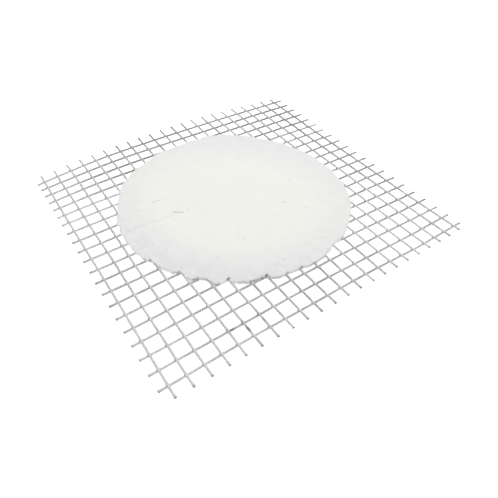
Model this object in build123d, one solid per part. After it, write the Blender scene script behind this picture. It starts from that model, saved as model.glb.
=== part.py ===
from build123d import *
from math import asin, atan2, cos, degrees, dist, hypot, radians, sqrt
import os

# Laboratory wire gauze: a square of welded galvanised mesh with a round ceramic pad moulded through
# its middle. Millimetres, +Z up. The origin is under the middle of the sheet, level with its lowest
# point, the tip of the bent back left corner.

# Welded mesh: lengthwise wires run along Y and lie on the crosswise wires, which run along X. Each
# wire is drawn with flats, one of which is pressed against the other layer at every weld.
wire_diameter = 0.9
wire_flats = 8
weld_film = 0.05
mesh_pitch = 6.35
lengthwise_count = 22
crosswise_count = 21

# Cut ends of the wires past the outermost crossing. The sheet was sheared a little out of square, so the
# stubs along each side run evenly from one length to another.
left_front_stub = 3.9
left_back_stub = 3.0
right_front_stub = 5.3
right_back_stub = 6.4
front_left_stub = 5.7
front_right_stub = 4.4
back_left_stub = 6.6
back_right_stub = 5.2

# Back left corner, bent down past a diagonal line just outside the ceramic
corner_bend_radius = 420.0
corner_bend_gap = 2.9

# Ceramic centre: flat faces that taper to a shoulder, and a rim that hangs in scallops between the wires
ceramic_radius = 50.8
ceramic_shift_x = -0.1
ceramic_shift_y = 2.25
ceramic_thickness = 3.6
shoulder_thickness = 2.1
rim_thickness = 1.0
taper_width = 12.0
shoulder_width = 2.6
closest_cusps = 1.4
cut_overrun = 4.0

# Ragged run of the rim: number of lobes, share of the radius, and phase in degrees
rim_lobe_shares = (
    (2, 0.005, 30),
    (3, 0.014, 170),
    (5, 0.005, 64),
    (7, 0.005, -160),
    (17, 0.004, -92),
    (19, 0.004, 102),
)

# Depth of a scallop as a share of its span, and how unevenly that depth runs round the rim
scallop_share = 0.14
scallop_uneven_share = 0.75
scallop_waves = 23

# The sheet and its two layers
wire_radius = wire_diameter / 2
layer_step = wire_diameter + weld_film
mesh_width = (lengthwise_count - 1) * mesh_pitch
mesh_depth = (crosswise_count - 1) * mesh_pitch
left_stub = max(left_front_stub, left_back_stub)
right_stub = max(right_front_stub, right_back_stub)
front_stub = max(front_left_stub, front_right_stub)
back_stub = max(back_left_stub, back_right_stub)
mesh_left = (left_stub - mesh_width - right_stub) / 2
mesh_front = (front_stub - mesh_depth - back_stub) / 2
lengthwise_places = [mesh_left + index * mesh_pitch for index in range(lengthwise_count)]
crosswise_places = [mesh_front + index * mesh_pitch for index in range(crosswise_count)]


def along_cut(first_stub, last_stub, count):
    """The stub of each wire of one layer, along a straight cut across all of them."""
    return [first_stub + (last_stub - first_stub) * index / (count - 1) for index in range(count)]


left_ends = [mesh_left - stub for stub in along_cut(left_front_stub, left_back_stub, crosswise_count)]
right_ends = [
    mesh_left + mesh_width + stub for stub in along_cut(right_front_stub, right_back_stub, crosswise_count)
]
front_ends = [mesh_front - stub for stub in along_cut(front_left_stub, front_right_stub, lengthwise_count)]
back_ends = [
    mesh_front + mesh_depth + stub for stub in along_cut(back_left_stub, back_right_stub, lengthwise_count)
]

# The ceramic's place and sections
ceramic_x = mesh_left + mesh_width / 2 + ceramic_shift_x
ceramic_y = mesh_front + mesh_depth / 2 + ceramic_shift_y
face_height = ceramic_thickness / 2
shoulder_height = shoulder_thickness / 2
rim_height = rim_thickness / 2
ragged_share = sum(share for count, share, phase in rim_lobe_shares)

# Both layers bend about one axis along the diagonal, so the upper layer has the wider radius
upper_bend_radius = corner_bend_radius + layer_step
lower_bend_radius = corner_bend_radius - layer_step
bend_run = sqrt(2) * (ceramic_radius + corner_bend_gap)


def lengthwise_bend_start(x, back_end):
    """Where a lengthwise wire meets the bend line, or its back end if it stays straight."""
    return min(ceramic_y + (x - ceramic_x) + bend_run, back_end)


def crosswise_bend_start(y, left_end):
    """Where a crosswise wire meets the bend line, or its left end if it stays straight."""
    return max(ceramic_x + (y - ceramic_y) - bend_run, left_end)


def tip_depth(bent_span, bend_radius):
    """How far the underside of a bent wire's tip lies below the wire's own straight line."""
    turn = asin(bent_span / bend_radius)
    return bend_radius * (1 - cos(turn)) + wire_radius * cos(turn)


# Height of the flat mesh over the floor, set by the lowest tip of the bent corner
lengthwise_depths = [
    tip_depth(back_end - lengthwise_bend_start(x, back_end), upper_bend_radius) - layer_step / 2
    for x, back_end in zip(lengthwise_places, back_ends)
]
crosswise_depths = [
    tip_depth(crosswise_bend_start(y, left_end) - left_end, lower_bend_radius) + layer_step / 2
    for y, left_end in zip(crosswise_places, left_ends)
]
mesh_height = max(face_height, *lengthwise_depths, *crosswise_depths)
upper_height = mesh_height + layer_step / 2
lower_height = mesh_height - layer_step / 2


def make_wire(straight_run, bent_span, bend_radius):
    """One wire along +X from the origin: a straight run, then a gentle bend down over bent_span."""
    flat_turn = 180 / wire_flats
    section = Plane.YZ * RegularPolygon(wire_radius, wire_flats, major_radius=False, rotation=flat_turn)
    wire = extrude(section, amount=straight_run)
    if bent_span > 0:
        bend_axis = Axis((straight_run, 0, -bend_radius), (0, 1, 0))
        turn = degrees(asin(bent_span / bend_radius))
        wire += revolve(Pos(straight_run, 0, 0) * section, axis=bend_axis, revolution_arc=turn)
    return wire


def make_lengthwise_wire(x, front_end, back_end):
    """A wire of the upper layer, from the front cut to the back cut."""
    bend_start = lengthwise_bend_start(x, back_end)
    wire = make_wire(bend_start - front_end, back_end - bend_start, upper_bend_radius)
    return Pos(x, front_end, upper_height) * Rot(0, 0, 90) * wire


def make_crosswise_wire(y, left_end, right_end):
    """A wire of the lower layer, from the right cut to the left cut."""
    bend_start = crosswise_bend_start(y, left_end)
    wire = make_wire(right_end - bend_start, bend_start - left_end, lower_bend_radius)
    return Pos(right_end, y, lower_height) * Rot(0, 0, 180) * wire


def rim_radius(angle):
    """Radius of the ragged rim in one direction from the middle of the ceramic."""
    lobes = [share * cos(count * angle + radians(phase)) for count, share, phase in rim_lobe_shares]
    return ceramic_radius * (1 + sum(lobes))


def rim_reach(across, side, lengthwise):
    """How far along a wire, from where it passes the middle, the ragged rim crosses it."""
    round_reach = side * sqrt(ceramic_radius**2 - across**2)
    angle = atan2(round_reach, across) if lengthwise else atan2(across, round_reach)
    return side * sqrt(rim_radius(angle)**2 - across**2)


def rim_cusps():
    """Points of the rim where the ceramic clings to a wire, in order around its middle."""
    smallest_radius = ceramic_radius * (1 - ragged_share)
    cusps = []
    for side in (1, -1):
        for across in [x - ceramic_x for x in lengthwise_places]:
            if abs(across) < smallest_radius:
                cusps.append((across, rim_reach(across, side, True)))
        for across in [y - ceramic_y for y in crosswise_places]:
            if abs(across) < smallest_radius:
                cusps.append((rim_reach(across, side, False), across))
    cusps.sort(key=lambda cusp: atan2(cusp[1], cusp[0]))
    spaced = [cusps[0]]
    for cusp in cusps[1:]:
        if dist(cusp, spaced[-1]) > closest_cusps and dist(cusp, spaced[0]) > closest_cusps:
            spaced.append(cusp)
    return spaced


def make_rim_face():
    """The ceramic's outline: from wire to wire it hangs in an arc that is hollowed inwards."""
    cusps = rim_cusps()
    scallops = []
    for start, end in zip(cusps, cusps[1:] + cusps[:1]):
        middle_x = (start[0] + end[0]) / 2
        middle_y = (start[1] + end[1]) / 2
        uneven = 1 + scallop_uneven_share * cos(scallop_waves * atan2(middle_y, middle_x))
        inward = 1 - uneven * scallop_share * dist(start, end) / hypot(middle_x, middle_y)
        scallops.append(ThreePointArc(start, (middle_x * inward, middle_y * inward), end))
    return make_face(scallops)


def make_ceramic(wires):
    """The ceramic pad: a turned section with flat faces, trimmed to the rim, with the wires' ways."""
    shoulder_radius = ceramic_radius - shoulder_width
    flat_radius = shoulder_radius - taper_width
    blank_radius = ceramic_radius * (1 + ragged_share) + cut_overrun
    outline = Polyline(
        (0, face_height),
        (flat_radius, face_height),
        (shoulder_radius, shoulder_height),
        (ceramic_radius, rim_height),
        (blank_radius, rim_height),
        (blank_radius, -rim_height),
        (ceramic_radius, -rim_height),
        (shoulder_radius, -shoulder_height),
        (flat_radius, -face_height),
        (0, -face_height),
        close=True,
    )
    blank = revolve(Plane.XZ * make_face(outline), axis=Axis.Z)
    pad = blank & extrude(make_rim_face(), amount=face_height + cut_overrun, both=True)
    return Pos(ceramic_x, ceramic_y, mesh_height) * pad - wires


os.makedirs("parts", exist_ok=True)
nodes = {}
for index, (x, front_end, back_end) in enumerate(zip(lengthwise_places, front_ends, back_ends), start=1):
    nodes[f"lengthwise_wire_{index:02d}"] = make_lengthwise_wire(x, front_end, back_end)
for index, (y, left_end, right_end) in enumerate(zip(crosswise_places, left_ends, right_ends), start=1):
    nodes[f"crosswise_wire_{index:02d}"] = make_crosswise_wire(y, left_end, right_end)
nodes["ceramic_centre"] = make_ceramic(list(nodes.values()))
for name, shape in nodes.items():
    export_step(shape, f"parts/{name}.step")
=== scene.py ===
import bmesh
import bpy
import numpy as np
from math import pi, radians, sqrt
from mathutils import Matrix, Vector


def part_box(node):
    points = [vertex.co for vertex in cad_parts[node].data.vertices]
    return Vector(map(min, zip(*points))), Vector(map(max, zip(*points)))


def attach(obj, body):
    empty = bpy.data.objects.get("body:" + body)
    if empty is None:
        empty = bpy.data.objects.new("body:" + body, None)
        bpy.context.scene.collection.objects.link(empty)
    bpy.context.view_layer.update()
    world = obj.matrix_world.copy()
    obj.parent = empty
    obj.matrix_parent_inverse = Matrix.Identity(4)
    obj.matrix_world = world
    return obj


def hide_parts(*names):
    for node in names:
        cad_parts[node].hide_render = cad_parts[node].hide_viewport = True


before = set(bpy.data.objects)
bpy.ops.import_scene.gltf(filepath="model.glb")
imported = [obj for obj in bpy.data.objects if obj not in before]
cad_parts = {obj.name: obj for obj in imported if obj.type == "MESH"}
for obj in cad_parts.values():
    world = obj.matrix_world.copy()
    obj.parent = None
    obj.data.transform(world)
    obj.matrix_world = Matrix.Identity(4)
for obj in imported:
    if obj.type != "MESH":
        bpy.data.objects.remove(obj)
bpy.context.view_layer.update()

# Laboratory wire gauze. Sizes are in millimetres, in the CAD frame, and are turned into metres as each
# mesh is made.
MM = 0.001
FAR = 1e9
draws = np.random.default_rng(11)

# The photograph's view, from the middle of the mesh
camera_offset = (-88.283, -133.167, 128.46)
camera_turn = (45.046, -1.431, -34.337)
camera_lens = 33.258
camera_sensor = 36.0
camera_near = 0.001

# The welded mesh, as in the part's source. The back left corner is bent past the line y = x + bend_line.
lengthwise_count = 22
crosswise_count = 21
bend_radius = 420.0
bend_line = 79.09

# How finely the wires are drawn, and how far they stray from true. A plan of waves gives their count, and
# their longest and shortest length.
wire_sides = 16
ring_step = 0.45
sway_depth = 0.12
sway_plan = (3, 90, 30)
coat_share = 0.03
zinc_depth_share = 0.03
zinc_plan = (6, 9, 2.5)

# The sheared ends of the wires: how much is off, and how far in from the tip they are swollen, flattened
# and slanted
least_trim = 0.18
most_trim = 0.35
end_reach = 0.8
end_flare_share = 0.22
end_flat_share = 0.16
shear_reach = 0.4
shear_slant = 0.12

# How the back and right cuts wander from a straight line: index of a wire, and millimetres added to its end
back_cut = ((0, -3.0), (3, -2.4), (8, -1.3), (12, 0.8), (15, 0.8), (21, -2.4))
right_cut = ((12, 0.0), (17, -0.45), (20, -0.45))

# Welds: how a wire is swollen and pressed there, and the web of zinc drawn into the corners
weld_reach = 0.7
weld_swell_share = 0.05
weld_press_share = 0.05
web_turns = 24
web_shares = (0.86, 0.6, 0.3)
web_edge = 0.02
web_height_share = 0.95
web_height_power = 0.8
web_least_share = 0.9
web_most_share = 1.1
web_reach_share = 1.25
web_point_share = 0.3
web_rough_share = 0.06
web_pad_gap = 1.5

# How the mesh has crept out of square: millimetres for 1, x, y, x*x, x*y and y*y, with x and y from its
# middle in creep_units
creep_unit = 70.0
most_creep = 0.8
lengthwise_creep = (-0.06, -0.06, -0.02, -0.22, -0.22, 0.44)
crosswise_creep = (0.79, -0.05, 0.11, -1.06, 0.76, -0.73)

# How bright the zinc is, by groups of wires. This is partly the zinc's own uneven tone and partly painted
# light: the lengthwise layer is painted brighter than the crosswise one, for light that falls differently on
# wires running the two ways.
lengthwise_tones = [1.0] * 5 + [0.66] * 8 + [0.9, 0.5] + [0.85] * 5 + [0.5] * 2
crosswise_tones = [0.62] * 4 + [0.4] * 9 + [0.55] * 3 + [0.1] * 5
tone_scatter = 0.1
tone_drift = 0.12
tone_plan = (5, 60, 12)
# Painted light: the zinc is painted brighter near each weld, against the shade that falls between the
# crossing wires.
weld_painted_light = 0.5
web_tone = 0.55
tip_stain = 0.45
cut_stain = 0.6

# Brighter and duller places of each layer: x and y from the middle of the mesh, size, change of tone
lengthwise_patches = (
    (-60, 58, 22, 0.6), (55, 26, 22, -0.3), (50, -58, 24, 0.3), (-58, -5, 26, -0.1),
    (-32, 72, 12, -0.5), (-16, 73, 12, -0.5), (0, 73, 12, -0.5),
)
crosswise_patches = (
    (-70, -45, 24, 0.35), (-70, -5, 24, 0.25), (-70, 35, 24, 0.55), (-66, 62, 24, 0.3),
    (0, -60, 40, -0.1),
)

# The ceramic pad: its middle from the middle of the mesh, its section, and its rings of points
pad_offset = (-0.12, 2.06)
pad_half = 1.8
pad_radius = 50.8
rim_half = 0.62
edge_round = 0.45
edge_drop = 0.3
dome_width = 14.6
dome_power = 2.8
face_room = 0.05
wire_skin = 0.08
ridge_spread = 1.0
ridge_blend = 8
outer_turns = 1440
inner_turns = 480
outer_band = 6.0
outer_power = 1.8
top_outer_rings = 17
top_inner_rings = 50
low_outer_rings = 10
low_inner_rings = 18

# How rough the pad's faces are. The broad and fine waves calm down towards the rim, and the grain inwards.
broad_plan = (8, 45, 18)
broad_depth = 0.03
fine_plan = (14, 11, 4)
fine_depth = 0.012
calm_width = 4.0
grain_plan = (20, 3.5, 1.5)
grain_depth = 0.018
grain_start_share = 2.2
grain_fade = 7.0
least_grain_share = 0.2


def corner(node, low):
    """One corner of a CAD node's box, in millimetres."""
    return np.array(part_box(node)[0 if low else 1]) / MM


def wire_place(name, axis):
    """The middle of a wire's box along one axis."""
    return (corner(name, True)[axis] + corner(name, False)[axis]) / 2


lengthwise_names = [f"lengthwise_wire_{i:02d}" for i in range(1, lengthwise_count + 1)]
crosswise_names = [f"crosswise_wire_{i:02d}" for i in range(1, crosswise_count + 1)]
lengthwise_places = np.array([wire_place(name, 0) for name in lengthwise_names])
crosswise_places = np.array([wire_place(name, 1) for name in crosswise_names])
mesh_x = lengthwise_places.mean()
mesh_y = crosswise_places.mean()
wire_radius = (corner(lengthwise_names[-1], False)[0] - corner(lengthwise_names[-1], True)[0]) / 2
upper_height = wire_place(lengthwise_names[-1], 2)
lower_height = wire_place(crosswise_names[0], 2)
mesh_height = (upper_height + lower_height) / 2
layer_step = upper_height - lower_height
pad_x = mesh_x + pad_offset[0]
pad_y = mesh_y + pad_offset[1]


# Meshes

def add_mesh(name, points, faces, tones, stains_and_shade):
    """A new object from points in millimetres, with smooth faces and two shading values a point."""
    mesh = bpy.data.meshes.new(name)
    mesh.from_pydata((np.asarray(points) * MM).tolist(), [], faces)
    mesh.polygons.foreach_set("use_smooth", [True] * len(mesh.polygons))
    for label, values in (("tone", tones), ("stain_and_shade", stains_and_shade)):
        layer = mesh.attributes.new(label, "FLOAT", "POINT")
        layer.data.foreach_set("value", np.asarray(values, np.float32))
    mesh.update()
    piece = bpy.data.objects.new(name, mesh)
    bpy.context.scene.collection.objects.link(piece)
    return piece


def ring_faces(outer, outer_count, inner, inner_count, flip):
    """Faces between two rings of points; the inner ring may have a third of the outer one's points."""
    faces = []
    if outer_count == inner_count:
        for k in range(outer_count):
            n = (k + 1) % outer_count
            faces.append((outer + k, outer + n, inner + n, inner + k))
    else:
        for k in range(inner_count):
            n = (k + 1) % inner_count
            a, b, c, d = [outer + (3 * k + step) % outer_count for step in range(4)]
            faces.append((a, b, inner + k))
            faces.append((b, c, inner + n, inner + k))
            faces.append((c, d, inner + n))
    return [face[::-1] if flip else face for face in faces]


def hub_faces(ring, count, hub, flip):
    """A fan of faces from a ring to one point."""
    faces = [(ring + k, ring + (k + 1) % count, hub) for k in range(count)]
    return [face[::-1] if flip else face for face in faces]


def waves(count, longest, shortest):
    """A seeded set of plane waves for gentle unevenness: x and y turns per millimetre, and phase."""
    lengths = draws.uniform(shortest, longest, count)
    headings = draws.uniform(0, 2 * pi, count)
    phases = draws.uniform(0, 2 * pi, count)
    return 2 * pi * np.cos(headings) / lengths, 2 * pi * np.sin(headings) / lengths, phases


def ripple(wave_set, x, y):
    """Sum of a set of waves, about one at its highest."""
    total = 0.0
    for across, along, phase in zip(*wave_set):
        total = total + np.sin(across * x + along * y + phase)
    return total / sqrt(len(wave_set[0]))


def near_spot(x, y, spot_x, spot_y, size):
    """One at a spot, falling away to nothing past its size."""
    return np.exp(-((x - spot_x) ** 2 + (y - spot_y) ** 2) / size**2)


# The pad's ragged rim, read off the photograph: degrees round from +X, and radius
rim_reads = (
    (-180, 51.8), (-176, 51.8), (-172, 52.0), (-169, 51.9), (-166, 52.0), (-163.5, 51.7), (-161.5, 51.0),
    (-159, 51.1), (-156, 51.4), (-153, 51.3), (-150, 51.1), (-148.5, 50.5), (-147.6, 49.9), (-146, 49.9),
    (-145, 50.2), (-143, 51.4), (-141, 51.9), (-140, 51.2), (-138.6, 50.1), (-136, 50.3), (-134, 50.5),
    (-132.5, 51.0), (-131, 51.7), (-129, 51.3), (-127.3, 50.7), (-125.6, 49.1), (-124.9, 49.0),
    (-124.2, 50.4), (-122, 50.6), (-120, 50.8), (-118, 51.0), (-116, 50.6), (-115, 50.4), (-113, 49.9),
    (-112, 49.5),
    (-110.7, 49.1), (-109, 48.9), (-108.2, 48.7), (-107.6, 50.0), (-107, 50.5), (-104, 51.0), (-101, 50.8),
    (-99.8, 50.2), (-98.6, 50.6), (-96, 50.5), (-94, 50.7), (-92.5, 50.3),
    (-89, 51.2), (-85, 51.3), (-81, 51.5), (-77.5, 51.2), (-74, 50.9), (-71, 50.3), (-68, 50.3),
    (-66, 51.1), (-63, 51.5), (-60, 51.6), (-57, 51.5), (-54.5, 51.2), (-52, 51.5), (-48, 51.6),
    (-44, 51.9), (-40, 51.8), (-36, 52.0), (-32, 52.0), (-28, 51.8), (-24, 51.6), (-20, 51.3),
    (-15, 51.2), (-10, 51.2), (-6, 50.8), (-2, 50.6), (3, 50.7), (8, 50.5), (12, 50.2), (16, 49.8),
    (20, 49.6), (24, 50.1), (28, 50.3), (32, 49.8), (36, 49.7), (40, 49.8), (44, 49.8), (47, 50.7),
    (50, 51.0), (54, 50.6), (57, 50.7), (60, 51.5), (65, 51.5), (70, 51.7), (73, 51.9), (75.5, 51.9),
    (76.5, 50.6), (78, 50.0), (80, 50.2), (84, 50.2), (88, 49.6), (92, 49.3), (96, 49.2), (100, 49.4),
    (103, 49.8), (107, 50.2), (110, 49.8), (113, 49.5), (117, 49.7), (120, 49.9), (123, 49.9), (127, 50.9),
    (130, 50.9), (134, 50.6), (138, 51.5), (141, 51.6), (145, 51.2), (148, 50.7), (151, 50.9), (154, 50.6),
    (158, 50.7), (161, 50.9), (165, 51.7), (168, 51.9), (170, 51.4), (173, 51.8), (177, 51.6), (180, 51.8),
)
rim_lift = -0.1
rim_rag = 0.13
rim_cling = 0.2
cling_width = 0.6
rag_plan = (14, 5.0, 1.6)
rag_fade = 0.8
rim_fade = 1.6
rag_waves = waves(*rag_plan)
mean_rim = np.mean([radius for angle, radius in rim_reads]) + rim_lift

# Painted shade where a wire goes into the rim: degrees, size, strength
rim_shade_spots = (
    (-161.9, 0.8, 0.9), (-158.3, 0.7, 0.35), (-156.3, 0.6, 0.3), (-147.7, 0.5, 0.3), (-138.6, 0.5, 0.4),
    (-125.2, 0.65, 1.0), (-118.5, 0.8, 0.4), (-115.5, 0.7, 0.4), (-110.7, 0.6, 0.55), (-108.4, 0.65, 1.0),
    (-107.6, 0.4, 0.5), (-99.3, 0.7, 0.6), (-92.2, 0.8, 1.0), (-87.5, 0.4, 0.4), (-84.6, 0.5, 0.35),
)
rim_shade_share = 0.7
rim_shade_reach = 0.05

# Painted shadow along the rim's edge: from and to in degrees, strength
rim_shadow_lines = (
    (-165.2, -163, 0.35), (-138, -134, 0.4), (-122, -117.5, 0.3), (-115, -111.5, 0.3), (-107, -102, 0.4),
    (-89, -86.5, 0.35), (-83.5, -79, 0.3), (164.5, 168.5, 0.35),
)
rim_shadow_width = 0.3
rim_shadow_fade = 0.6

# Scorched places on the bare wires: x and y from the middle of the mesh, size, strength
scorches = (
    (-35.0, -60.3, 1.1, 0.8), (-28.6, -60.4, 0.9, 0.4), (-39.6, -57.1, 1.4, 0.8), (-34.9, -57.1, 0.8, 0.5),
    (-28.5, -57.0, 0.8, 0.5), (-28.5, -63.6, 0.7, 0.3), (-8.5, -49.1, 0.9, 0.5), (-1.6, -49.0, 0.8, 0.5),
)

# Fine cracks in the pad's face: points from the pad's middle. Then their depths and how dark they are.
cracks = (
    ((-49.3, 2.8), (-47.4, 3.3), (-44.6, 3.1), (-42.2, 2.8), (-40.1, 2.7), (-37.3, 2.1), (-35.2, 1.7),
     (-31.4, 1.8), (-28.9, 1.4)),
    ((-33.2, 13.5), (-31.7, 13.8), (-29.8, 13.6)),
    ((-29.8, 13.6), (-26.9, 13.8), (-25.4, 13.7)),
    ((-28.3, 3.3), (-26.6, 2.3), (-25.1, 1.0)),
    ((13.0, 49.1), (9.2, 42.8), (5.8, 37.1)),
)
crack_depths = (0.06, 0.1, 0.04, 0.15, 0.05)
crack_stains = (0.16, 0.34, 0.12, 0.6, 0.06)
crack_width = 0.28
crack_margin = 1.1

# Specks and small pits in the pad's face: x and y from its middle, size, strength
specks = (
    (-22.1, 1.8, 0.45, 0.25), (-22.9, 7.5, 0.5, 0.2), (-18.2, 3.1, 0.4, 0.2), (-9.0, 22.8, 0.45, 0.2),
    (-6.0, 22.8, 0.4, 0.16), (15.2, -16.9, 0.9, 0.25), (20.6, -24.4, 0.5, 0.2), (27.4, -4.7, 0.5, 0.2),
    (-12.7, -26.7, 0.5, 0.2), (-27.0, -29.8, 0.5, 0.22), (7.7, -42.5, 0.5, 0.22), (-5.1, -27.2, 0.4, 0.16),
    (0.8, -33.7, 0.4, 0.16), (-5.8, -43.9, 0.5, 0.2), (-40.4, -26.3, 0.5, 0.22), (-44.1, -9.6, 0.5, 0.22),
    (-40.6, -21.8, 0.45, 0.2), (-44.4, -15.7, 0.45, 0.2),
)
speck_depth_share = 0.2
speck_margin = 0.8
mark_cuts = 3

# The pad's tone runs from 0 on its pale edge, which is painted light against the shade of the edge face,
# through cream in its middle, to 1 in the grey of its rim. The grey deepens towards both ends of the
# tone_heading axis, and this is partly painted shade on the front-left rim. The cream reaches least far in
# the tone_heading, in degrees.
cream_tone = 0.25
cream_reach = 33.0
cream_pull = 11.0
grey_reach = 46.0
tone_heading = 45
# This swing deepens the grey towards both ends of the tone_heading axis: partly the ceramic's own grey,
# partly painted shade on the front-left rim.
grey_share = 0.42
grey_and_shade_swing_share = 0.52
fine_mottle = 0.14
grain_mottle = 0.16
edge_light_share = 0.9
edge_light_width = 0.4


def nearest(places, across):
    """Distance from the nearest of a row of wires."""
    return np.abs(np.asarray(across)[..., None] - places).min(axis=-1)


def rim_read(angle):
    """Radius of the rim in each direction, as read."""
    marks, reads = np.array(rim_reads).T
    return np.interp(np.degrees((angle + pi) % (2 * pi) - pi), marks, reads) + rim_lift


def rim_at(angle):
    """Radius of the rim in each direction: as read, roughened, and drawn out a little along the wires."""
    radius = rim_read(angle)
    x, y = radius * np.cos(angle), radius * np.sin(angle)
    gap = np.minimum(nearest(lengthwise_places, pad_x + x), nearest(crosswise_places, pad_y + y))
    rag = rim_rag * ripple(rag_waves, x, y)
    return radius + rag + rim_cling * np.exp(-((gap / cling_width) ** 2))


def rim_shade_marks():
    """The painted shade spots of the rim as x and y from the pad's middle, size and strength."""
    angles = np.radians([angle for angle, size, strength in rim_shade_spots])
    reaches = rim_at(angles) + rim_shade_reach
    return [
        (reach * np.cos(angle), reach * np.sin(angle), size, strength)
        for reach, angle, (mark, size, strength) in zip(reaches, angles, rim_shade_spots)
    ]


entry_shade_marks = rim_shade_marks()


def wire_stain_and_shade(x, y):
    """How dark the bare wires are: scorches out on the mesh, and painted shade where they enter the rim."""
    stain_and_shade = 0 * x
    for spot_x, spot_y, size, strength in scorches:
        stain_and_shade = np.maximum(stain_and_shade, strength * near_spot(x - mesh_x, y - mesh_y, spot_x, spot_y, size))
    # Painted shade on the wire where it goes into the rim.
    for spot_x, spot_y, size, strength in entry_shade_marks:
        stain_and_shade = np.maximum(stain_and_shade, strength * near_spot(x - pad_x, y - pad_y, spot_x, spot_y, size))
    return stain_and_shade


# Wires

def drop(span, radius):
    """How far a bent wire has come down at a distance past the bend line."""
    span = np.maximum(span, 0)
    return radius - np.sqrt(radius**2 - span**2)


lengthwise_sways = [waves(*sway_plan) for name in lengthwise_names]
crosswise_sways = [waves(*sway_plan) for name in crosswise_names]


def creep(shares, x, y):
    """How far the wires of one layer have crept sideways at a place in the mesh."""
    across, along = (x - mesh_x) / creep_unit, (y - mesh_y) / creep_unit
    terms = (1, across, along, across**2, across * along, along**2)
    return np.clip(sum(share * term for share, term in zip(shares, terms)), -most_creep, most_creep)


def lengthwise_line(index, y):
    """Where one wire of the upper layer runs, as x for each y."""
    x = lengthwise_places[index]
    return x + creep(lengthwise_creep, x, y) + sway_depth * ripple(lengthwise_sways[index], y, 0 * y)


def crosswise_line(index, x):
    """Where one wire of the lower layer runs, as y for each x."""
    y = crosswise_places[index]
    return y + creep(crosswise_creep, x, y) + sway_depth * ripple(crosswise_sways[index], x, 0 * x)


def lengthwise_path(index, y):
    """Points along one wire of the upper layer."""
    x = lengthwise_line(index, y)
    z = upper_height - drop(y - lengthwise_places[index] - bend_line, bend_radius + layer_step)
    return np.stack([x, y, z], axis=1)


def crosswise_path(index, x):
    """Points along one wire of the lower layer."""
    y = crosswise_line(index, x)
    z = lower_height - drop(crosswise_places[index] - bend_line - x, bend_radius - layer_step)
    return np.stack([x, y, z], axis=1)


def make_wire(name, path, places, weld_side, tone, patches):
    """A drawn, galvanised wire with sheared ends, flattened and swollen a little at each weld."""
    ways = np.gradient(path, axis=0)
    ways /= np.linalg.norm(ways, axis=1)[:, None]
    across = np.cross(ways, (0, 0, 1))
    across /= np.linalg.norm(across, axis=1)[:, None]
    up = np.cross(across, ways)
    run = np.concatenate([[0], np.cumsum(np.linalg.norm(np.diff(path, axis=0), axis=1))])
    main_axis = 0 if abs(ways[0, 0]) > abs(ways[0, 1]) else 1
    weld_near = np.exp(-((nearest(places, path[:, main_axis]) / weld_reach) ** 2))
    end_near = np.exp(-np.minimum(run, run[-1] - run) / end_reach)
    uneven = 1 + coat_share + zinc_depth_share * ripple(waves(*zinc_plan), run, 0 * run)
    width = wire_radius * uneven * (1 + weld_swell_share * weld_near + end_flare_share * end_near)
    height = wire_radius * uneven * (1 - end_flat_share * end_near)
    slant = draws.uniform(-1, 1, 2) * shear_slant
    tilt = slant[0] * np.exp(-run / shear_reach) + slant[1] * np.exp(-(run[-1] - run) / shear_reach)
    turns = np.linspace(0, 2 * pi, wire_sides, endpoint=False)
    lift = np.sin(turns)[None, :]
    pressed = np.where(lift * weld_side > 0, 1 - weld_press_share * weld_near[:, None], 1)
    rings = (
        path[:, None, :]
        + (np.cos(turns)[None, :] * width[:, None])[..., None] * across[:, None, :]
        + (lift * height[:, None] * pressed)[..., None] * up[:, None, :]
        + (lift * tilt[:, None])[..., None] * ways[:, None, :]
    )
    points = np.concatenate([rings.reshape(-1, 3), path[:1], path[-1:]])
    faces = []
    last = (len(path) - 1) * wire_sides
    for first in range(0, last, wire_sides):
        faces.extend(ring_faces(first + wire_sides, wire_sides, first, wire_sides, False))
    faces.extend(hub_faces(0, wire_sides, len(points) - 2, False))
    faces.extend(hub_faces(last, wire_sides, len(points) - 1, True))
    # Near each weld the tone carries painted light, against the shade between the crossing wires.
    along = tone + tone_drift * ripple(waves(*tone_plan), run, 0 * run) + weld_painted_light * weld_near
    x, y = path[:, 0] - mesh_x, path[:, 1] - mesh_y
    for spot_x, spot_y, size, change in patches:
        along = along + change * near_spot(x, y, spot_x, spot_y, size)
    tones = np.concatenate([np.repeat(along, wire_sides), [tone, tone]])
    # The wire's stain holds its scorches and cut ends, and painted shade where it goes into the rim.
    stain_and_shade = np.maximum(wire_stain_and_shade(path[:, 0], path[:, 1]), tip_stain * end_near**2)
    stains_and_shade = np.concatenate([np.repeat(stain_and_shade, wire_sides), [cut_stain, cut_stain]])
    return add_mesh(name, points, faces, tones, stains_and_shade)


def cut(name, axis, index, far_cut):
    """Stations along a wire from one uneven cut end to the other."""
    low = corner(name, True)[axis] + draws.uniform(least_trim, most_trim)
    high = corner(name, False)[axis] - draws.uniform(least_trim, most_trim)
    marks, steps = np.array(far_cut).T
    high = high + np.interp(index, marks, steps)
    return np.linspace(low, high, int((high - low) / ring_step))


def make_wires():
    """Every wire of both layers, each in place of its node."""
    pieces = []
    for index, name in enumerate(lengthwise_names):
        path = lengthwise_path(index, cut(name, 1, index, back_cut))
        tone = lengthwise_tones[index] + draws.uniform(-tone_scatter, tone_scatter)
        pieces.append(make_wire("galvanised_" + name, path, crosswise_places, -1, tone, lengthwise_patches))
        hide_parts(name)
    for index, name in enumerate(crosswise_names):
        path = crosswise_path(index, cut(name, 0, index, right_cut))
        tone = crosswise_tones[index] + draws.uniform(-tone_scatter, tone_scatter)
        pieces.append(make_wire("galvanised_" + name, path, lengthwise_places, 1, tone, crosswise_patches))
        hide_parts(name)
    return pieces


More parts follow.
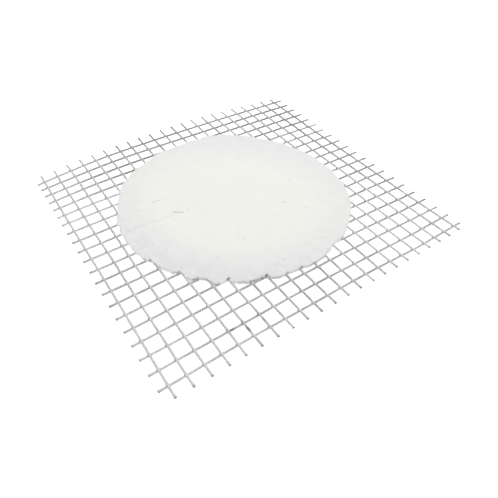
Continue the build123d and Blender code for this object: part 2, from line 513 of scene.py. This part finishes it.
def add_web(points, faces, middle, edge):
    """Adds one web to the points and faces: two low domes that share their edge."""
    edge_start = len(points)
    points.extend(middle + edge + (0, 0, web_edge))
    for side in (1, -1):
        outer = edge_start
        for share in web_shares:
            height = web_height_share * wire_radius * (1 - share) ** web_height_power + web_edge
            inner = len(points)
            points.extend(middle + share * edge + (0, 0, side * height))
            faces.extend(ring_faces(outer, web_turns, inner, web_turns, side < 0))
            outer = inner
        points.append(middle + (0, 0, side * web_height_share * wire_radius))
        faces.extend(hub_faces(outer, web_turns, len(points) - 1, side < 0))


def make_welds():
    """Zinc drawn into the corners of every weld that the ceramic leaves bare: a flat four-pointed web."""
    turns = np.linspace(0, 2 * pi, web_turns, endpoint=False)
    points, faces = [], []
    for i, x in enumerate(lengthwise_places):
        for j, y in enumerate(crosswise_places):
            if np.hypot(x - pad_x, y - pad_y) < pad_radius - web_pad_gap:
                continue
            upper = lengthwise_path(i, np.array([y]))[0]
            lower = crosswise_path(j, np.array([x]))[0]
            middle = np.array([upper[0], lower[1], (upper[2] + lower[2]) / 2])
            size = wire_radius * draws.uniform(web_least_share, web_most_share)
            rough = draws.uniform(-web_rough_share, web_rough_share, web_turns)
            reach = size * (web_reach_share + web_point_share * np.abs(np.sin(2 * turns)) + rough)
            edge = np.stack([reach * np.cos(turns), reach * np.sin(turns), 0 * turns], axis=1)
            add_web(points, faces, middle, edge)
    # The webs carry the same painted light as the welds.
    tones = np.full(len(points), web_tone + weld_painted_light)
    return add_mesh("weld_zinc", points, faces, tones, np.zeros(len(points)))


# Ceramic pad

def polyline_gap(points, x, y):
    """Distance from a run of short straight lines."""
    best = np.full(x.shape, FAR)
    for (ax, ay), (bx, by) in zip(points, points[1:]):
        dx, dy = bx - ax, by - ay
        part = np.clip(((x - ax) * dx + (y - ay) * dy) / (dx * dx + dy * dy), 0, 1)
        best = np.minimum(best, np.hypot(x - ax - part * dx, y - ay - part * dy))
    return best


broad_waves = waves(*broad_plan)
fine_waves = waves(*fine_plan)
grain_waves = waves(*grain_plan)


def wire_ridge(x, y, side):
    """Height over the mesh of the ceramic that clings over the wires of one layer."""
    gap = np.full(x.shape, FAR)
    for index in range(lengthwise_count if side > 0 else crosswise_count):
        if side > 0:
            off = pad_x + x - lengthwise_line(index, pad_y + y)
        else:
            off = pad_y + y - crosswise_line(index, pad_x + x)
        gap = np.minimum(gap, np.abs(off))
    crest = layer_step / 2 + wire_radius + wire_skin
    return crest * np.exp(-((gap / ridge_spread) ** 2))


def pad_height(x, y, side):
    """How far one face of the pad stands from the middle of the mesh."""
    angle = np.arctan2(y, x)
    inward = np.maximum(rim_at(angle) - np.hypot(x, y), 0)
    smooth = inward + (rim_read(angle) - rim_at(angle)) * (1 - np.exp(-inward / rag_fade))
    smooth = smooth + (mean_rim - rim_read(angle)) * (1 - np.exp(-inward / rim_fade))
    part = np.clip(smooth / dome_width, 0, 1)
    half = rim_half + (pad_half - face_room - rim_half) * (1 - (1 - part) ** dome_power)
    half = (half**ridge_blend + wire_ridge(x, y, side) ** ridge_blend) ** (1 / ridge_blend)
    rise = np.sqrt(1 - (1 - np.clip(inward / edge_round, 0, 1)) ** 2)
    half = (half + side * edge_drop) * rise - side * edge_drop
    rough = broad_depth * ripple(broad_waves, x, y) + fine_depth * ripple(fine_waves, x, y)
    rough = rough * np.clip(inward / calm_width, 0, 1)
    grain_share = np.clip(grain_start_share - inward / grain_fade, least_grain_share, 1)
    rough = rough + grain_depth * ripple(grain_waves, x, y) * np.clip(inward, 0, 1) * grain_share
    half = half + rough
    if side > 0:
        for line, depth in zip(cracks, crack_depths):
            half = half - depth * np.exp(-((polyline_gap(line, x, y) / crack_width) ** 2))
        for spot_x, spot_y, size, strength in specks:
            half = half - speck_depth_share * strength * near_spot(x, y, spot_x, spot_y, size)
    return np.minimum(half, pad_half)


def pad_stain_and_shade(x, y):
    """How dark the pad's upper face is: cracks and specks, painted shade where the wires go into the rim, and
    painted shadow along the rim's edge.
    """
    stain_and_shade = 0 * x
    for line, strength in zip(cracks, crack_stains):
        stain_and_shade = np.maximum(stain_and_shade, strength * np.exp(-((polyline_gap(line, x, y) / crack_width) ** 2)))
    for spot_x, spot_y, size, strength in specks:
        stain_and_shade = np.maximum(stain_and_shade, strength * near_spot(x, y, spot_x, spot_y, size))
    # Painted shade on the pad where each wire goes into the rim.
    for spot_x, spot_y, size, strength in entry_shade_marks:
        stain_and_shade = np.maximum(stain_and_shade, strength * near_spot(x, y, spot_x, spot_y, rim_shade_share * size))
    angles = np.degrees(np.arctan2(y, x))
    inward = np.maximum(rim_at(np.radians(angles)) - np.hypot(x, y), 0)
    # Painted shadow in thin lines along the rim's edge.
    for start, end, strength in rim_shadow_lines:
        along = np.clip(np.minimum(angles - start, end - angles) / rim_shadow_fade, 0, 1)
        stain_and_shade = np.maximum(stain_and_shade, strength * along * np.exp(-((inward / rim_shadow_width) ** 2)))
    return stain_and_shade


def pad_tone(x, y):
    """How far the pad's colour has gone from the cream of its middle to the grey of its rim, with painted
    shade in the grey and painted light on the edge.
    """
    radius, angle = np.hypot(x, y), np.arctan2(y, x)
    facing = np.cos(angle - radians(tone_heading))
    start = cream_reach - cream_pull * np.maximum(facing, 0)
    grey = np.clip((radius - start) / (grey_reach - start), 0, 1)
    mottle = fine_mottle * ripple(fine_waves, y, x)
    mottle = mottle + grain_mottle * (1 - facing) / 2 * ripple(grain_waves, y, x)
    # The swing in the grey is partly painted shade, on the front-left rim.
    tone = grey * (grey_share + grey_and_shade_swing_share * facing**2 + mottle)
    inward = np.maximum(rim_at(angle) - radius, 0)
    # Painted light: the pad is painted paler at its very edge, against the shade on the edge face.
    edge_light = edge_light_share * np.exp(-((inward / edge_light_width) ** 2))
    return (cream_tone + (1 - cream_tone) * tone) * (1 - edge_light)


def mark_near(x, y):
    """True close to a crack or a speck, where the face is divided more finely."""
    near = np.zeros(x.shape, bool)
    for line in cracks:
        near |= polyline_gap(line, x, y) < crack_margin
    for spot_x, spot_y, size, strength in specks:
        near |= np.hypot(x - spot_x, y - spot_y) < size + speck_margin
    return near


def refine(points, faces, chosen, cuts):
    """Divides the edges between chosen points."""
    shape = bmesh.new()
    corners = [shape.verts.new(point) for point in points]
    for face in faces:
        shape.faces.new([corners[k] for k in face])
    shape.verts.index_update()
    edges = [edge for edge in shape.edges if all(chosen[end.index] for end in edge.verts)]
    bmesh.ops.subdivide_edges(shape, edges=edges, cuts=cuts, use_grid_fill=True)
    shape.verts.index_update()
    points = np.array([vert.co[:] for vert in shape.verts])
    faces = [[vert.index for vert in face.verts] for face in shape.faces]
    shape.free()
    return points, faces


def pad_side(outer_rings, inner_rings):
    """Rings of points for one face of the pad, as x and y from its middle, the rim first."""
    angles = np.linspace(-pi, pi, outer_turns, endpoint=False)
    edge = rim_at(angles)
    rings = []
    for inward in outer_band * np.linspace(0, 1, outer_rings) ** outer_power:
        rings.append((edge - inward)[:, None] * np.stack([np.cos(angles), np.sin(angles)], axis=1))
    angles = np.linspace(-pi, pi, inner_turns, endpoint=False)
    edge = rim_at(angles) - outer_band
    for share in np.linspace(1, 0, inner_rings + 2)[1:-1]:
        rings.append(share * edge[:, None] * np.stack([np.cos(angles), np.sin(angles)], axis=1))
    return rings


def make_pad():
    """The pad: two faces that meet at the rim, drawn finely at the rim and at the marks."""
    top = pad_side(top_outer_rings, top_inner_rings)
    low = pad_side(low_outer_rings, low_inner_rings)
    points, sides, faces = [], [], []
    for side, rings in ((1, top), (-1, low)):
        starts = []
        for ring in rings:
            if side < 0 and ring is rings[0]:
                starts.append(0)
                continue
            starts.append(len(points))
            points.extend(ring)
            sides.extend([side] * len(ring))
        points.append((0, 0))
        sides.append(side)
        for k in range(len(rings) - 1):
            pair = (starts[k], len(rings[k]), starts[k + 1], len(rings[k + 1]))
            faces.extend(ring_faces(*pair, side < 0))
        faces.extend(hub_faces(starts[-1], len(rings[-1]), len(points) - 1, side < 0))
    flat = np.array([(x, y, side) for (x, y), side in zip(points, sides)])
    flat[:outer_turns, 2] = 0
    chosen = mark_near(flat[:, 0], flat[:, 1]) & (flat[:, 2] > 0)
    flat, faces = refine(flat, faces, chosen, mark_cuts)
    x, y = flat[:, 0], flat[:, 1]
    above = flat[:, 2] > 0.5
    below = flat[:, 2] < -0.5
    z = np.where(above, pad_height(x, y, 1), np.where(below, -pad_height(x, y, -1), -edge_drop))
    solid = np.stack([pad_x + x, pad_y + y, mesh_height + z], axis=1)
    # The pad's stain holds its cracks and specks, and painted shade and shadow at the rim.
    stains_and_shade = np.where(below, 0, pad_stain_and_shade(x, y))
    piece = add_mesh("moulded_ceramic", solid, faces, pad_tone(x, y), stains_and_shade)
    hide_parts("ceramic_centre")
    return piece


# Materials. A ramp has stops of place and colour. A noise has a scale, per metre, and a detail. A bump has a
# strength, and a depth in metres.
# The stain value darkens a mesh's colour for its real scorches, cut ends, cracks and specks, and for the
# painted shade and shadow at the rim.
most_stain_and_shade = 0.9
spangle_noise = (900, 4)
zinc_spangle = ((0.3, (0.409, 0.412, 0.422)), (0.7, (0.529, 0.532, 0.544)))
zinc_tones = ((0.0, (0.58, 0.58, 0.588)), (1.0, (1.26, 1.26, 1.276)))
zinc_stain_and_shade = (0.1, 0.1, 0.1)
zinc_metallic = 0.7
zinc_rough_noise = (1500, 3)
zinc_roughness = (0.5, 0.74)
zinc_bump_noise = (4000, 3)
zinc_bump = (0.35, 0.00004)
# The first stop of the ceramic tones is painted light: the pale colour of the pad's edge, against the shade
# on the edge face.
ceramic_tones = (
    (0.0, (0.97, 0.97, 0.97)), (cream_tone, (0.765, 0.772, 0.728)), (1.0, (0.698, 0.696, 0.717)),
)
mottle_noise = (220, 5)
ceramic_mottle = ((0.35, (0.985, 0.985, 0.98)), (0.6, (1.0, 1.0, 1.0)))
grain_noise = (900, 3)
ceramic_grain = ((0.3, (0.98, 0.98, 0.98)), (0.65, (1.005, 1.005, 1.005)))
ceramic_stain_and_shade = (0.2, 0.2, 0.2)
ceramic_rough_noise = (600, 3)
ceramic_roughness = (0.72, 0.95)
ceramic_bump_noise = (1400, 6)
ceramic_bump = (0.25, 0.00008)


def new_material(name):
    """A new material with its node tree and its main shader."""
    material = bpy.data.materials.new(name)
    material.use_nodes = True
    tree = material.node_tree
    shader = next(node for node in tree.nodes if node.type == "BSDF_PRINCIPLED")
    return material, tree, shader


def add_noise(tree, scale, detail):
    """Noise in the object's own coordinates."""
    place = tree.nodes.new("ShaderNodeTexCoord")
    noise = tree.nodes.new("ShaderNodeTexNoise")
    noise.inputs["Scale"].default_value = scale
    noise.inputs["Detail"].default_value = detail
    tree.links.new(place.outputs["Object"], noise.inputs["Vector"])
    return noise.outputs["Fac"]


def add_attribute(tree, label):
    """One of the shading values of a mesh's points."""
    node = tree.nodes.new("ShaderNodeAttribute")
    node.attribute_name = label
    return node.outputs["Fac"]


def add_ramp(tree, value, stops):
    """Colours by value."""
    node = tree.nodes.new("ShaderNodeValToRGB")
    ramp = node.color_ramp
    while len(ramp.elements) < len(stops):
        ramp.elements.new(0.5)
    for element, (place, colour) in zip(ramp.elements, stops):
        element.position = place
        element.color = (*colour, 1)
    tree.links.new(value, node.inputs["Fac"])
    return node.outputs["Color"]


def add_mix(tree, kind, factor, first, second):
    """Two colours mixed, each a socket or a constant."""
    node = tree.nodes.new("ShaderNodeMix")
    node.data_type = "RGBA"
    node.blend_type = kind
    for value, socket in ((factor, node.inputs[0]), (first, node.inputs[6]), (second, node.inputs[7])):
        if isinstance(value, bpy.types.NodeSocket):
            tree.links.new(value, socket)
        elif isinstance(value, tuple):
            socket.default_value = (*value, 1)
        else:
            socket.default_value = value
    return node.outputs[2]


def add_range(tree, value, low, high):
    """A value from 0 to 1 spread from low to high."""
    node = tree.nodes.new("ShaderNodeMapRange")
    node.inputs["To Min"].default_value = low
    node.inputs["To Max"].default_value = high
    tree.links.new(value, node.inputs["Value"])
    return node.outputs["Result"]


def add_stain_and_shade(tree, colour, dark):
    """A colour darkened by the stain value of a mesh's points: real stains, and painted shade and shadow."""
    share = add_range(tree, add_attribute(tree, "stain_and_shade"), 0.0, most_stain_and_shade)
    return add_mix(tree, "MIX", share, colour, dark)


def add_bump(tree, shader, value, strength, depth):
    """Fine relief from a value."""
    node = tree.nodes.new("ShaderNodeBump")
    node.inputs["Strength"].default_value = strength
    node.inputs["Distance"].default_value = depth
    tree.links.new(value, node.inputs["Height"])
    tree.links.new(node.outputs["Normal"], shader.inputs["Normal"])


def zinc_material():
    """Dull galvanised zinc with a faint spangle."""
    material, tree, shader = new_material("galvanised_zinc")
    colour = add_ramp(tree, add_noise(tree, *spangle_noise), zinc_spangle)
    tone = add_ramp(tree, add_attribute(tree, "tone"), zinc_tones)
    colour = add_stain_and_shade(tree, add_mix(tree, "MULTIPLY", 1.0, colour, tone), zinc_stain_and_shade)
    tree.links.new(colour, shader.inputs["Base Color"])
    roughness = add_range(tree, add_noise(tree, *zinc_rough_noise), *zinc_roughness)
    tree.links.new(roughness, shader.inputs["Roughness"])
    shader.inputs["Metallic"].default_value = zinc_metallic
    add_bump(tree, shader, add_noise(tree, *zinc_bump_noise), *zinc_bump)
    return material


def ceramic_material():
    """Matt, slightly chalky fired ceramic, with painted light on its pale edge."""
    material, tree, shader = new_material("fired_ceramic")
    colour = add_ramp(tree, add_attribute(tree, "tone"), ceramic_tones)
    for noise, stops in ((mottle_noise, ceramic_mottle), (grain_noise, ceramic_grain)):
        shade = add_ramp(tree, add_noise(tree, *noise), stops)
        colour = add_mix(tree, "MULTIPLY", 1.0, colour, shade)
    colour = add_stain_and_shade(tree, colour, ceramic_stain_and_shade)
    tree.links.new(colour, shader.inputs["Base Color"])
    roughness = add_range(tree, add_noise(tree, *ceramic_rough_noise), *ceramic_roughness)
    tree.links.new(roughness, shader.inputs["Roughness"])
    add_bump(tree, shader, add_noise(tree, *ceramic_bump_noise), *ceramic_bump)
    return material


# Studio: lights as place, size and power, in metres and watts
world_glow = 0.5
top_light = ((0.0, 0.0, 0.9), 1.0, 4.7)
back_light = ((0.22, 0.22, 0.52), 0.5, 1.17)
floor_reach = 6.0
floor_colour = (0.9, 0.9, 0.9, 1)
floor_glow = 0.5
white = (1, 1, 1, 1)


def add_area(name, place, size, power):
    """A square light that faces the middle of the scene."""
    light = bpy.data.lights.new(name, "AREA")
    light.shape = "SQUARE"
    light.size = size
    light.energy = power
    lamp = bpy.data.objects.new(name, light)
    lamp.location = place
    lamp.rotation_euler = (-Vector(place)).to_track_quat("-Z", "Y").to_euler()
    bpy.context.scene.collection.objects.link(lamp)


def add_floor():
    """A pale floor that glows a little, so that it stays white round the object."""
    mesh = bpy.data.meshes.new("floor")
    corners = [(-1, -1), (1, -1), (1, 1), (-1, 1)]
    mesh.from_pydata([(floor_reach * x, floor_reach * y, 0) for x, y in corners], [], [(0, 1, 2, 3)])
    floor = bpy.data.objects.new("floor", mesh)
    bpy.context.scene.collection.objects.link(floor)
    material, tree, shader = new_material("pale_floor")
    shader.inputs["Base Color"].default_value = floor_colour
    shader.inputs["Roughness"].default_value = 1.0
    shader.inputs["Emission Color"].default_value = white
    shader.inputs["Emission Strength"].default_value = floor_glow
    mesh.materials.append(material)


def add_camera():
    """The photograph's view."""
    camera = bpy.data.cameras.new("camera")
    camera.lens = camera_lens
    camera.sensor_width = camera_sensor
    camera.clip_start = camera_near
    view = bpy.data.objects.new("camera", camera)
    middle = (mesh_x, mesh_y, mesh_height)
    view.location = [MM * (start + step) for start, step in zip(middle, camera_offset)]
    view.rotation_euler = [radians(value) for value in camera_turn]
    bpy.context.scene.collection.objects.link(view)
    bpy.context.scene.camera = view


def set_studio():
    """A bright room, two soft lights, the floor and the camera."""
    scene = bpy.context.scene
    scene.view_settings.view_transform = "Standard"
    world = bpy.data.worlds.new("studio")
    scene.world = world
    world.use_nodes = True
    background = world.node_tree.nodes["Background"]
    background.inputs["Color"].default_value = white
    background.inputs["Strength"].default_value = world_glow
    add_area("top_softbox", *top_light)
    add_area("back_softbox", *back_light)
    add_floor()
    add_camera()


zinc = zinc_material()
ceramic = ceramic_material()
wires = make_wires() + [make_welds()]
for piece in wires:
    piece.data.materials.append(zinc)
    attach(piece, "root")
pad = make_pad()
pad.data.materials.append(ceramic)
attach(pad, "root")
set_studio()
